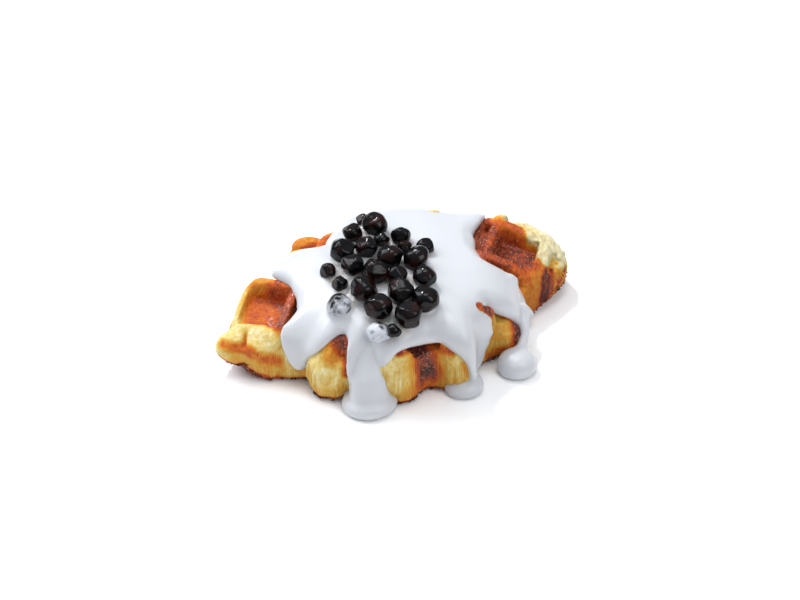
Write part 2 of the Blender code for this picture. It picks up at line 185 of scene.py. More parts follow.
def directions(mesh):
    """The way that each point of the skin faces."""
    flat = np.empty(len(mesh.vertices) * 3)
    mesh.vertex_normals.foreach_get("vector", flat)
    return flat.reshape(-1, 3)


def store(mesh, name, values):
    """Keeps a number for each point of a mesh, for its material to read."""
    mesh.attributes.new(name, "FLOAT", "POINT").data.foreach_set("value", np.asarray(values, np.float32))


def new_object(name, bm):
    mesh = bpy.data.meshes.new(name)
    bm.to_mesh(mesh)
    bm.free()
    made = bpy.data.objects.new(name, mesh)
    bpy.context.scene.collection.objects.link(made)
    return made


def bake(obj):
    """Turns the modifiers of an object into its mesh."""
    graph = bpy.context.evaluated_depsgraph_get()
    mesh = bpy.data.meshes.new_from_object(obj.evaluated_get(graph))
    obj.modifiers.clear()
    obj.data = mesh


def soften(obj, voxel, rounds):
    """Makes one skin of all the shells in an object and rounds its edges."""
    remesh = obj.modifiers.new("one_skin", "REMESH")
    remesh.mode = "VOXEL"
    remesh.voxel_size = voxel
    smooth = obj.modifiers.new("soft_edges", "SMOOTH")
    smooth.factor = 0.5
    smooth.iterations = rounds
    bake(obj)


def ellipsoid(bm, middle, half, segments=32, rings=20):
    place = Matrix.Translation(middle) @ Matrix.Diagonal((*half, 1))
    bmesh.ops.create_uvsphere(bm, u_segments=segments, v_segments=rings, radius=1, matrix=place)


def sphere_angles(mesh):
    """The bearing and the tilt, in degrees, of each point of a ball."""
    points = coords(mesh)
    degrees = np.degrees(np.arctan2(points[:, 1], points[:, 0]))
    return degrees, np.degrees(np.arcsin(np.clip(points[:, 2], -1, 1)))


def add(tree, kind, settings, inputs):
    """Adds a node, with its own settings, and with a value or a link for each input."""
    made = tree.nodes.new(kind)
    for name, value in settings.items():
        setattr(made, name, value)
    for place, value in inputs.items():
        if isinstance(value, bpy.types.NodeSocket):
            tree.links.new(value, made.inputs[place])
        else:
            made.inputs[place].default_value = value
    return made


def new_geometry_tree(name, sizes):
    """An empty Geometry Nodes tree with named inputs for its sizes, and its input node."""
    tree = bpy.data.node_groups.new(name, "GeometryNodeTree")
    tree.interface.new_socket("Geometry", in_out="INPUT", socket_type="NodeSocketGeometry")
    for size in sizes:
        tree.interface.new_socket(size, in_out="INPUT", socket_type="NodeSocketFloat")
    tree.interface.new_socket("Geometry", in_out="OUTPUT", socket_type="NodeSocketGeometry")
    return tree, add(tree, "NodeGroupInput", {}, {})


def grow(obj, tree, sizes):
    """Runs a Geometry Nodes tree on an object and keeps the result as its mesh."""
    modifier = obj.modifiers.new(tree.name, "NODES")
    modifier.node_group = tree
    for item in tree.interface.items_tree:
        if item.in_out == "INPUT" and item.name in sizes:
            modifier[item.identifier] = sizes[item.name]
    bake(obj)


shape = bmesh.new()
bmesh.ops.create_uvsphere(shape, u_segments=DOUGH_SEGMENTS, v_segments=DOUGH_RINGS, radius=1)
crust = new_object("croffle_crust", shape)
set_coords(crust.data, dough_skin(*sphere_angles(crust.data)))

# The teeth stand on a square grid that lies slantwise under the dough, one tree for both plates.
tree, sizes_in = new_geometry_tree("waffle_iron_teeth", ("Tip width", "Root width", "Length"))
corner_share = math.sqrt(0.5)
tip = add(tree, "ShaderNodeMath", {"operation": "MULTIPLY"}, {
    0: sizes_in.outputs["Tip width"], 1: corner_share})
root = add(tree, "ShaderNodeMath", {"operation": "MULTIPLY"}, {
    0: sizes_in.outputs["Root width"], 1: corner_share})
tooth = add(tree, "GeometryNodeMeshCone", {}, {
    "Vertices": 4, "Radius Bottom": tip.outputs[0], "Radius Top": root.outputs[0],
    "Depth": sizes_in.outputs["Length"]})
turn = add(tree, "GeometryNodeInputNamedAttribute", {"data_type": "FLOAT_VECTOR"}, {"Name": "turn"})
stand = add(tree, "GeometryNodeInstanceOnPoints", {}, {
    "Points": sizes_in.outputs["Geometry"], "Instance": tooth.outputs["Mesh"],
    "Rotation": turn.outputs["Attribute"]})
real = add(tree, "GeometryNodeRealizeInstances", {}, {"Geometry": stand.outputs["Instances"]})
steel = bpy.data.materials.new("iron_plate")
dressed = add(tree, "GeometryNodeSetMaterial", {}, {"Geometry": real.outputs["Geometry"], "Material": steel})
add(tree, "NodeGroupOutput", {}, {"Geometry": dressed.outputs["Geometry"]})

shape = bmesh.new()
ways = []
step_u = Vector((math.cos(GRID_TURN), math.sin(GRID_TURN), 0)) * PITCH
step_v = Vector((-math.sin(GRID_TURN), math.cos(GRID_TURN), 0)) * PITCH
for column in GRID_COLUMNS:
    for row in GRID_ROWS:
        middle = Vector((*GRID_CORNER, 0)) + step_u * column + step_v * row
        from_heart = middle - Vector((*HEART, 0))
        bearing = math.degrees(math.atan2(from_heart.y, from_heart.x))
        inset = float(outline(bearing)) - from_heart.length
        if inset > -TOOTH_ROOT / 2:
            shape.verts.new(middle + Vector((0, 0, THICKNESS - TOP_POCKET)))
            ways.append((0, 0, GRID_TURN + math.pi / 4))
        if inset > UNDER_INSET:
            shape.verts.new(middle + Vector((0, 0, UNDER_POCKET)))
            ways.append((math.pi, 0, GRID_TURN + math.pi / 4))
teeth = new_object("iron_teeth", shape)
teeth.data.attributes.new("turn", "FLOAT_VECTOR", "POINT").data.foreach_set("vector", np.array(ways).ravel())
grow(teeth, tree, {
    "Tip width": TOOTH_TIP, "Length": TOOTH_LENGTH,
    "Root width": TOOTH_TIP + (TOOTH_ROOT - TOOTH_TIP) / TOP_POCKET * TOOTH_LENGTH})
press = crust.modifiers.new("press", "BOOLEAN")
press.operation = "DIFFERENCE"
press.solver = "EXACT"
press.object = teeth
bake(crust)
bpy.data.objects.remove(teeth, do_unlink=True)

shape = bmesh.new()
for middle, half in PUFFS:
    ellipsoid(shape, middle, half)
shape.from_mesh(crust.data)
shape.to_mesh(crust.data)
shape.free()
soften(crust, DOUGH_VOXEL, DOUGH_ROUNDS)

# The left end was hardly pressed, so its pocket is a soft hollow: where this starts and is full, along the
# pastry and upwards.
SOFT_END_ALONG = (-38, -46)
SOFT_END_UP = (11, 15)
SOFT_END_ROUNDS = 30
points = coords(crust.data)
hardly_pressed = smooth_step(*SOFT_END_ALONG, points[:, 0]) * smooth_step(*SOFT_END_UP, points[:, 2])
end_group = crust.vertex_groups.new(name="left_end")
for vertex in np.flatnonzero(hardly_pressed):
    end_group.add([int(vertex)], float(hardly_pressed[vertex]), "REPLACE")
soft_end = crust.modifiers.new("soft_end", "SMOOTH")
soft_end.factor = 0.5
soft_end.iterations = SOFT_END_ROUNDS
soft_end.vertex_group = "left_end"
bake(crust)
crust.vertex_groups.clear()

# Where each point lies: its bearing from the heart, its share of the outline, its place between the teeth,
# and how deep it is under the skin that the dough had before pressing.
SWELL = 0.35
SWELL_SPACING = 9.0
# A side faces outwards more than up, and lies in the outer part of the outline.
SIDE_STEEPNESS = (0.55, 0.2)
SIDE_SHARE = (0.62, 0.82)
# A pocket's wall slopes from its root to its tip, and ends before the rim.
POCKET_WALL = (TOOTH_ROOT / 2 + 0.6, TOOTH_TIP / 2 - 0.4)
POCKET_DEPTH = (1.5, 5)
POCKET_SHARE = 0.97
points = coords(crust.data)
facing = directions(crust.data)
swell = np.array([noise.noise(Vector(p) / SWELL_SPACING) for p in points])
points += facing * (SWELL * swell)[:, None]
flat = points[:, :2] - HEART
radius = np.hypot(*flat.T)
bearing = np.degrees(np.arctan2(flat[:, 1], flat[:, 0]))
share = radius / outline(bearing)
skin_top = WAIST + (THICKNESS - WAIST) * (1 - np.minimum(share, 1) ** RIM_POWER) ** (1 / SHOULDER_POWER)
depth = skin_top - points[:, 2]
turned = (flat + HEART - GRID_CORNER) @ np.array([
    [math.cos(GRID_TURN), -math.sin(GRID_TURN)], [math.sin(GRID_TURN), math.cos(GRID_TURN)]]) / PITCH
from_tooth = np.max(np.abs(turned - np.round(turned)), axis=1) * PITCH
up = facing[:, 2]
on_side = smooth_step(*SIDE_STEEPNESS, np.abs(up)) * smooth_step(*SIDE_SHARE, share)
in_pocket = smooth_step(*POCKET_WALL, from_tooth) * smooth_step(*POCKET_DEPTH, depth)
in_pocket *= (points[:, 2] > WAIST) & (share < POCKET_SHARE)

# Fine relief: the edges of the layers run up the lobes as threads, the pressed crust is blistered, and
# torn layers stand out along the bottom rim as ragged leaves.
DRIFT_SPACING = 6
DRIFT = 2.2
THREAD_SPACING = 1.25
THREAD_RUN = 9.0
THREAD_HEIGHT = 0.3
FOLD_SPACING = 3.4
FOLD_RUN = 22.0
FOLD_HEIGHT = 0.75
BLISTER_SPACING = 2.1
BLISTER_HEIGHT = 0.22
# The threads and folds start a little above the table.
RELIEF_START = (1, 4)
LEAF_REACH = 1.5
LEAF_HEIGHT = 2.2
LEAF_SPACING = 2.6
LEAF_STRETCH = 0.4
LEAF_SHARE = (0.86, 0.94)
around = np.radians((bearing - 90) % 360) * outline(bearing)
drift = np.array([noise.noise(Vector(p) / DRIFT_SPACING) for p in points])
thread, fold = (
    np.array([noise.noise(Vector((s, z, 0.3))) for s, z in zip(
        (around + DRIFT * drift) / spacing, points[:, 2] / run)])
    for spacing, run in ((THREAD_SPACING, THREAD_RUN), (FOLD_SPACING, FOLD_RUN)))
blister = np.array([noise.noise(Vector(p) / BLISTER_SPACING) for p in points])
ragged = np.array([noise.noise(Vector((p[0], p[1], LEAF_STRETCH * p[2])) / LEAF_SPACING) for p in points])
lift = (THREAD_HEIGHT * thread + FOLD_HEIGHT * fold) * on_side * smooth_step(*RELIEF_START, points[:, 2])
lift += BLISTER_HEIGHT * blister * (1 - on_side) * (points[:, 2] > WAIST)
points += facing * lift[:, None]
out = LEAF_REACH * smooth_step(*LEAF_SHARE, share) * (0.55 + 1.3 * ragged)
out *= np.exp(-((points[:, 2] / LEAF_HEIGHT) ** 2))
points[:, :2] += flat / radius[:, None].clip(1) * out[:, None]
points[:, 2] = np.maximum(points[:, 2] - FLAT_FOOT, 0) * thinning(*points[:, :2].T)
level = points[:, 2].copy()
points[:, 2] += curl(points[:, 0], level)

# Browning: the iron browns what it touches, the swollen edge stays pale, and sugar burns in the hollows.
# A scorch is a start, an end, a half width and how dark it is, from 0 for raw dough to 1 for burnt.
SCORCHES = (
    # The left end: its hollow, the ridge beside the cream, and the band along its side.
    ((-58.5, 4.0, 19.0), (-54.5, 16.0, 24.0), 2.6, 0.20),
    ((-54.0, 16.5, 25.0), (-42.0, 13.0, 27.0), 2.6, 0.36),
    ((-52.0, 13.0, 23.0), (-44.0, 11.0, 24.5), 3.0, 0.41),
    ((-49.0, 5.0, 20.0), (-50.5, 0.0, 17.0), 6.0, 0.60),
    ((-49.0, 12.5, 22.0), (-43.5, 9.0, 22.5), 2.6, 0.46),
    ((-66.5, -8.5, 9.5), (-61.0, -11.0, 6.5), 1.0, 0.84),
    ((-61.0, -11.0, 6.5), (-48.0, -16.5, 1.5), 1.5, 0.88),
    ((-43.0, 5.0, 22.5), (-40.0, -4.0, 24.5), 4.2, 0.73),
    ((-40.5, -5.5, 24.0), (-44.5, -9.5, 21.5), 3.2, 0.75),
    ((-62.0, -6.0, 18.5), (-49.0, -12.0, 19.0), 3.2, 0.12),
    ((-61.0, -11.5, 8.5), (-50.0, -16.5, 5.5), 3.0, 0.34),
    ((-64.5, -8.0, 13.8), (-55.0, -13.5, 13.6), 2.2, 0.52),
    ((-55.5, -14.0, 13.2), (-46.8, -16.6, 10.0), 2.8, 0.55),
    # The lump at the back, and the scrap that shows through the cream.
    ((-31.0, 33.0, 22.0), (-19.0, 34.0, 25.0), 4.0, 0.44),
    ((-29.0, 29.0, 23.5), (-18.0, 30.0, 25.0), 1.5, 0.74),
    ((18.0, 30.8, 31.0), (27.0, 30.8, 31.0), 3.0, 0.14),
    # The lobes along the front, from the left.
    ((-28.0, -25.5, 23.0), (-29.0, -29.0, 18.5), 3.6, 0.42),
    ((-25.6, -23.5, 24.5), (-23.8, -28.5, 21.5), 3.6, 0.80),
    ((-23.4, -29.5, 19.5), (-23.8, -32.2, 13.5), 2.3, 0.68),
    ((2.8, -34.0, 17.0), (3.6, -35.5, 8.0), 7.6, 0.56),
    ((1.8, -32.0, 18.5), (4.4, -35.3, 9.5), 4.6, 0.87),
    ((-6.5, -36.0, 23.0), (0.0, -34.0, 21.0), 1.8, 0.74),
    ((6.5, -31.5, 20.5), (13.0, -35.6, 19.0), 1.8, 0.64),
    ((16.8, -38.4, 15.0), (18.2, -39.2, 9.0), 1.0, 0.42),
    ((31.0, -24.0, 17.0), (37.0, -22.5, 9.0), 7.5, 0.34),
    ((41.8, -19.5, 14.0), (41.2, -23.7, 9.0), 2.9, 0.85),
    ((38.8, -24.8, 6.5), (31.0, -25.0, 3.5), 2.2, 0.60),
    ((24.5, -22.5, 28.5), (30.5, -23.4, 24.4), 2.4, 0.82),
    ((30.5, -22.5, 24.0), (37.9, -18.5, 17.8), 1.6, 0.72),
    ((37.9, -18.6, 17.2), (41.8, -18.6, 14.0), 1.7, 0.76),
    # The right end: its pocket and the ridges round it, then burnt streaks down an amber side.
    ((41.0, 26.0, 23.0), (38.5, 6.0, 24.5), 5.5, 0.75),
    ((49.0, 24.0, 22.5), (57.5, 19.0, 20.5), 4.6, 0.61),
    ((47.0, 28.0, 27.0), (58.0, 26.0, 23.0), 2.6, 0.31),
    ((46.0, 18.0, 19.0), (54.5, 12.5, 16.5), 5.8, 0.80),
    ((57.0, 18.0, 20.5), (59.0, 11.0, 18.5), 2.6, 0.58),
    ((40.5, 4.0, 24.5), (56.5, 1.8, 18.5), 4.0, 0.71),
    ((50.0, -3.0, 16.0), (55.0, -2.5, 5.0), 5.5, 0.48),
    ((46.0, -1.0, 22.0), (52.0, -1.5, 18.5), 2.6, 0.60),
    ((69.0, 9.0, 15.0), (70.5, 9.5, 12.5), 1.6, 0.82),
    ((58.0, 1.0, 12.0), (67.0, 6.0, 8.0), 6.5, 0.44),
    ((60.5, 3.0, 14.0), (59.5, 0.0, 6.0), 3.6, 0.70),
    ((70.9, 9.3, 12.5), (66.5, 5.2, 8.4), 0.8, 0.82),
    ((66.5, 5.2, 8.4), (57.5, -0.3, 2.8), 0.8, 0.84),
    ((58.9, 1.6, 15.0), (57.8, -1.2, 5.0), 1.2, 0.90),
    ((60.9, 3.4, 17.0), (60.0, 0.4, 5.5), 1.2, 0.92),
    ((63.4, 6.2, 16.5), (62.6, 2.6, 8.5), 1.0, 0.90),
    ((66.6, 8.6, 15.0), (65.8, 4.6, 9.5), 0.8, 0.74),
)
# Where the crust tore off along the back of the right end, its white crumb shows: a start, an end and a
# half width.
TEARS = (
    ((53.5, 32.5, 21.5), (67.8, 13.0, 17.0), 7.0),
    ((59.5, 20.0, 21.0), (62.0, 8.5, 19.0), 4.3),
)
# A crease runs down between the two puffs of the left end: it is pressed in, and painted darker as shade in
# the crease.
CREASE_TOP = (-56.4, -7.0, 20.5)
CREASE_FOOT = (-57.8, -11.0, 14.0)
CREASE_WIDTH = 0.9
CREASE_DEPTH = 1.1
SUGAR_CRUST = 0.25
# Under the lifted left end more of the burnt rim can be seen: where this starts and is full along the
# pastry, and how much higher the rim reaches there.
LIFTED_FROM = (-47.0, -57.0)
LIFTED_RIM = 2.4
GRAIN_SPACING = 3.3
MOTTLE_SPACING = 1.1
# How dark each place is, on the scale of the scorches.
PALE = 0.13
SIDE_TOAST = 0.05
PRESSED_TOAST = 0.50
# Painted shade: the crease is darkened to this, on the scale of the scorches.
CREASE_PAINTED_SHADE = 0.62
RIM_TOAST = 0.74
UNDERSIDE_TOAST = 0.78
# Where each of these starts and is full: heights, shares of the outline, and shares of a half width.
TOP_HEIGHTS = (7, 16)
PRESSED_SHARE = (0.96, 0.80)
SIDE_HEIGHTS = (12, 3)
RIM_HEIGHTS = (3.4, 0.6)
UNDERSIDE = (-0.3, -0.65)
SCORCH_EDGE = (1.45, 0.35)
TEAR_EDGE = (1.15, 0.85)
GLAZE_TOAST = (0.6, 0.85)


def from_line(start, end):
    """How far each point of the crust is from a straight line between two points."""
    start, end = np.array(start), np.array(end)
    run = np.clip((points - start) @ (end - start) / ((end - start) @ (end - start)), 0, 1)
    return np.linalg.norm(points - start - run[:, None] * (end - start), axis=1)


grain = np.array([noise.noise(Vector(p) / GRAIN_SPACING) for p in points])
mottle = np.array([noise.noise(Vector(p) / MOTTLE_SPACING) for p in points])
high = smooth_step(*TOP_HEIGHTS, points[:, 2])
pressed = high * smooth_step(*PRESSED_SHARE, share) * (1 - on_side)
toast = PALE + 0.05 * grain
toast += on_side * (
    SIDE_TOAST - 0.20 * fold - 0.08 * thread + 0.13 * smooth_step(*SIDE_HEIGHTS, points[:, 2]))
toast += pressed * (PRESSED_TOAST + 0.12 * in_pocket + 0.16 * drift + 0.10 * grain)
for start, end, wide, dark in SCORCHES:
    near = from_line(start, end) / wide + 0.22 * grain + 0.10 * mottle - 0.25 * fold * on_side
    toast += smooth_step(*SCORCH_EDGE, near) * (dark + 0.10 * grain + 0.07 * mottle - toast)
# Painted shade in the crease: the colour there is darkened, and the skin is pressed in.
creased = np.exp(-((from_line(CREASE_TOP, CREASE_FOOT) / CREASE_WIDTH) ** 2))
toast += creased * (CREASE_PAINTED_SHADE - toast)
points -= facing * (CREASE_DEPTH * creased)[:, None]
lifted = smooth_step(*LIFTED_FROM, points[:, 0])
foot = smooth_step(*RIM_HEIGHTS, level + 1.2 * ragged - LIFTED_RIM * lifted)
toast += foot * (RIM_TOAST + 0.25 * ragged + 0.12 * lifted - toast)
toast += smooth_step(*UNDERSIDE, up) * (UNDERSIDE_TOAST + 0.1 * grain - toast)
from_tear = np.min([from_line(start, end) / half for start, end, half in TEARS], axis=0)
torn = smooth_step(*TEAR_EDGE, from_tear + 0.2 * grain) * (1 - in_pocket)
toast *= 1 - 0.92 * torn
points += facing * (torn * (0.9 * np.minimum(blister + 0.2, 0.25) + 0.5 * mottle))[:, None]
glaze = smooth_step(*GLAZE_TOAST, toast) * (level > 3) * (1 - 0.8 * on_side * (points[:, 0] > 50))
points += facing * (SUGAR_CRUST * glaze * mottle)[:, None]
set_coords(crust.data, points)
store(crust.data, "toast", np.clip(toast, 0, 1))
store(crust.data, "glaze", np.clip(glaze, 0, 1))
store(crust.data, "torn", torn)
store(crust.data, "around", around)
store(crust.data, "side", on_side)


def linear(code):
    """A colour written as an sRGB hex value, as the shader wants it."""
    channels = [int(code[k:k + 2], 16) / 255 for k in (1, 3, 5)]
    return [c / 12.92 if c <= 0.04045 else ((c + 0.055) / 1.055) ** 2.4 for c in channels] + [1]


def new_material(name):
    """A named material, its node tree and its shader."""
    made = bpy.data.materials.new(name)
    made.use_nodes = True
    return made, made.node_tree, made.node_tree.nodes["Principled BSDF"]


# Baked butter dough. Browning runs from cream yellow through amber to burnt sugar, with a dry crumb where
# it is pale, and a thin wet shine with fine pits where the sugar melted.
browned, tree, shader = new_material("baked_butter_dough")
place = add(tree, "ShaderNodeTexCoord", {}, {})
toasted = add(tree, "ShaderNodeAttribute", {"attribute_name": "toast"}, {})
glazed = add(tree, "ShaderNodeAttribute", {"attribute_name": "glaze"}, {})
crumb = add(tree, "ShaderNodeAttribute", {"attribute_name": "torn"}, {})
freckle = add(tree, "ShaderNodeTexNoise", {}, {
    "Vector": place.outputs["Object"], "Scale": 1 / (1.3 * MM), "Detail": 5.0, "Roughness": 0.62})
SHADE_SPREAD = 0.11
shade = add(tree, "ShaderNodeMapRange", {}, {
    "Value": freckle.outputs["Fac"], "From Min": 0.3, "From Max": 0.7,
    "To Min": -SHADE_SPREAD, "To Max": SHADE_SPREAD})
# The cut edges of the layers show on the sides as fine upright streaks.
STREAK_WIDTH = 0.55
STREAK_RUN = 7.0
unrolled = add(tree, "ShaderNodeAttribute", {"attribute_name": "around"}, {})
side = add(tree, "ShaderNodeAttribute", {"attribute_name": "side"}, {})
height = add(tree, "ShaderNodeSeparateXYZ", {}, {0: place.outputs["Object"]})
across = add(tree, "ShaderNodeMath", {"operation": "DIVIDE"}, {0: unrolled.outputs["Fac"], 1: STREAK_WIDTH})
upwards = add(tree, "ShaderNodeMath", {"operation": "DIVIDE"}, {0: height.outputs["Z"], 1: STREAK_RUN * MM})
wall = add(tree, "ShaderNodeCombineXYZ", {}, {"X": across.outputs[0], "Y": upwards.outputs[0]})
streak = add(tree, "ShaderNodeTexNoise", {}, {
    "Vector": wall.outputs[0], "Scale": 1.0, "Detail": 3.0, "Distortion": 0.6})
streak_shade = add(tree, "ShaderNodeMapRange", {}, {
    "Value": streak.outputs["Fac"], "From Min": 0.3, "From Max": 0.7,
    "To Min": -SHADE_SPREAD, "To Max": SHADE_SPREAD})
calm = add(tree, "ShaderNodeMath", {"operation": "MULTIPLY_ADD"}, {0: side.outputs["Fac"], 1: -0.5, 2: 1.0})
calm_shade = add(tree, "ShaderNodeMath", {"operation": "MULTIPLY"}, {
    0: shade.outputs["Result"], 1: calm.outputs[0]})
streaked = add(tree, "ShaderNodeMath", {"operation": "MULTIPLY_ADD"}, {
    0: streak_shade.outputs["Result"], 1: side.outputs["Fac"], 2: calm_shade.outputs[0]})
mixed = add(tree, "ShaderNodeMath", {"operation": "ADD", "use_clamp": True}, {
    0: toasted.outputs["Fac"], 1: streaked.outputs[0]})
ramp = add(tree, "ShaderNodeValToRGB", {}, {"Fac": mixed.outputs[0]})
stops = ((0.0, "#e3dab4"), (0.13, "#d6c07a"), (0.28, "#c79e42"), (0.42, "#c67e20"), (0.55, "#bd5d15"),
         (0.68, "#a54314"), (0.80, "#772a14"), (0.91, "#45170b"), (1.0, "#220b06"))
for k, (where, code) in enumerate(stops):
    stop = ramp.color_ramp.elements[k] if k < 2 else ramp.color_ramp.elements.new(where)
    stop.position = where
    stop.color = linear(code)
tree.links.new(ramp.outputs["Color"], shader.inputs["Base Color"])
rough = add(tree, "ShaderNodeMapRange", {}, {
    "Value": glazed.outputs["Fac"], "From Min": 0.0, "From Max": 1.0, "To Min": 0.66, "To Max": 0.4})
tree.links.new(rough.outputs["Result"], shader.inputs["Roughness"])
wet = add(tree, "ShaderNodeMath", {"operation": "MULTIPLY"}, {0: glazed.outputs["Fac"], 1: 0.5})
tree.links.new(wet.outputs[0], shader.inputs["Coat Weight"])
shader.inputs["Coat Roughness"].default_value = 0.16
shader.inputs["Coat IOR"].default_value = 1.4
shader.inputs["IOR"].default_value = 1.36
shader.inputs["Subsurface Weight"].default_value = 0.08
shader.inputs["Subsurface Radius"].default_value = (0.9, 0.5, 0.2)
shader.inputs["Subsurface Scale"].default_value = 0.002
pits = add(tree, "ShaderNodeTexVoronoi", {"feature": "F1"}, {
    "Vector": place.outputs["Object"], "Scale": 1 / (0.8 * MM), "Randomness": 1.0})
pit_depth = add(tree, "ShaderNodeMath", {"operation": "MULTIPLY"}, {
    0: pits.outputs["Distance"], 1: glazed.outputs["Fac"]})
pores = add(tree, "ShaderNodeTexNoise", {}, {
    "Vector": place.outputs["Object"], "Scale": 1 / (0.9 * MM), "Detail": 6.0, "Roughness": 0.7})
pore_depth = add(tree, "ShaderNodeMath", {"operation": "MULTIPLY_ADD"}, {
    0: crumb.outputs["Fac"], 1: 2.0, 2: 0.5})
pore_lift = add(tree, "ShaderNodeMath", {"operation": "MULTIPLY"}, {
    0: pores.outputs["Fac"], 1: pore_depth.outputs[0]})
streak_lift = add(tree, "ShaderNodeMath", {"operation": "MULTIPLY_ADD"}, {
    0: streak.outputs["Fac"], 1: side.outputs["Fac"], 2: pore_lift.outputs[0]})
relief = add(tree, "ShaderNodeMath", {"operation": "ADD"}, {
    0: pit_depth.outputs[0], 1: streak_lift.outputs[0]})
bump = add(tree, "ShaderNodeBump", {}, {"Height": relief.outputs[0], "Strength": 0.9, "Distance": 0.45 * MM})
tree.links.new(bump.outputs["Normal"], shader.inputs["Normal"])


def settle(obj, material):
    """Sets a finished piece down in the frame, smooth, with its material."""
    obj.data.materials.clear()
    obj.data.materials.append(material)
    obj.data.shade_smooth()
    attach(obj, "root")


def to_metres(obj):
    """Puts a form made in millimetres from the heart into the frame of the part."""
    set_coords(obj.data, (coords(obj.data) - (*CENTRE, 0)) * MM)


# The form in millimetres, for what lies on it.
crust_tree = BVHTree.FromPolygons(points.tolist(), [face.vertices[:] for face in crust.data.polygons])
to_metres(crust)
settle(crust, browned)
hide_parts("croffle")

# MELTED SUGAR
# Coarse sugar that was rolled into the dough. It melted against the hot iron and set again as small amber
# grains, thickest where the crust is darkest.
GRAINS_PER_MM2 = 0.9
GRAIN_SIZE = 0.2
# The smallest and the largest grain, as shares of that size.
GRAIN_SPREAD = (0.5, 1.5)
sugar = bpy.data.objects.new("melted_sugar", crust.data.copy())
bpy.context.scene.collection.objects.link(sugar)
tree, sizes_in = new_geometry_tree("sugar_on_crust", ("Grains per area", "Grain size"))
sticky = add(tree, "GeometryNodeInputNamedAttribute", {"data_type": "FLOAT"}, {"Name": "glaze"})
density = add(tree, "ShaderNodeMath", {"operation": "MULTIPLY"}, {
    0: sticky.outputs["Attribute"], 1: sizes_in.outputs["Grains per area"]})
scatter = add(tree, "GeometryNodeDistributePointsOnFaces", {}, {
    "Mesh": sizes_in.outputs["Geometry"], "Density": density.outputs[0], "Seed": 7})
grain_shape = add(tree, "GeometryNodeMeshIcoSphere", {}, {
    "Radius": sizes_in.outputs["Grain size"], "Subdivisions": 1})
vary = add(tree, "FunctionNodeRandomValue", {"data_type": "FLOAT"}, {
    2: GRAIN_SPREAD[0], 3: GRAIN_SPREAD[1], "Seed": 3})
stand = add(tree, "GeometryNodeInstanceOnPoints", {}, {
    "Points": scatter.outputs["Points"], "Instance": grain_shape.outputs["Mesh"],
    "Rotation": scatter.outputs["Rotation"], "Scale": vary.outputs[1]})
real = add(tree, "GeometryNodeRealizeInstances", {}, {"Geometry": stand.outputs["Instances"]})

# Amber sugar: some grains are clear and catch the light, others are burnt nearly black.
caramel, shader_tree, shader = new_material("caramel_grain")
place = add(shader_tree, "ShaderNodeTexCoord", {}, {})
tone = add(shader_tree, "ShaderNodeTexNoise", {}, {
    "Vector": place.outputs["Object"], "Scale": 1 / (1.1 * MM), "Detail": 1.0})
ramp = add(shader_tree, "ShaderNodeValToRGB", {}, {"Fac": tone.outputs["Fac"]})
for k, (where, code) in enumerate(((0.42, "#3a1109"), (0.62, "#d99a72"))):
    ramp.color_ramp.elements[k].position = where
    ramp.color_ramp.elements[k].color = linear(code)
shader_tree.links.new(ramp.outputs["Color"], shader.inputs["Base Color"])
shader.inputs["Roughness"].default_value = 0.16
shader.inputs["IOR"].default_value = 1.5

dressed = add(tree, "GeometryNodeSetMaterial", {}, {
    "Geometry": real.outputs["Geometry"], "Material": caramel})
add(tree, "NodeGroupOutput", {}, {"Geometry": dressed.outputs["Geometry"]})
grow(sugar, tree, {"Grains per area": GRAINS_PER_MM2 / MM ** 2, "Grain size": GRAIN_SIZE * MM})
settle(sugar, caramel)

# TORN FLAKES
# Brittle scraps of the outer layer, baked darker than the rest. They stand out along the bottom rim, where
# the dough was squeezed between the plates.
FLAKE_STEP = 0.75
FLAKE_GAPS = (0.5, 1.7)
FLAKE_HEIGHTS = (0.5, 2.4)
FLAKE_SIZE = 1.4
FLAKE_SPREAD = (0.5, 1.3)
FLAKE_THICKNESS = 0.3
FLAKE_FOOT = 0.02
# How far a flake may roll, dip or rise, and turn from the way outwards, in radians.
FLAKE_ROLL = (-0.7, 0.7)
FLAKE_DIP = (-0.9, 0.5)
FLAKE_TURN = (-0.8, 0.8)
# The rim is looked for from outside the dough, and from a little below where an end curls up.
FLAKE_START = 5.0
UNDER_CURL = 0.5
chance = np.random.default_rng(11)
shape = bmesh.new()
ways = []
scales = []
angle = 0.0
while angle < 360:
    reach = float(outline(angle))
    angle += math.degrees(FLAKE_STEP / reach) * chance.uniform(*FLAKE_GAPS)
    wanted = math.radians(angle)
    outward = Vector((math.cos(wanted), math.sin(wanted), 0))
    height = chance.uniform(*FLAKE_HEIGHTS)
    rise = float(curl(HEART[0] + reach * outward.x, height))
    far = Vector((*HEART, height + rise)) + outward * (reach + FLAKE_START)
    way = -outward + Vector((0, 0, UNDER_CURL * min(rise, 1)))
    found = crust_tree.ray_cast(far, way)[0]
    if found:
        shape.verts.new(found)
        ways.append((
            chance.uniform(*FLAKE_ROLL), chance.uniform(*FLAKE_DIP), wanted + chance.uniform(*FLAKE_TURN)))
        scales.append(chance.uniform(*FLAKE_SPREAD))
flakes = new_object("torn_flakes", shape)
flakes.data.attributes.new("turn", "FLOAT_VECTOR", "POINT").data.foreach_set("vector", np.array(ways).ravel())
store(flakes.data, "size", scales)

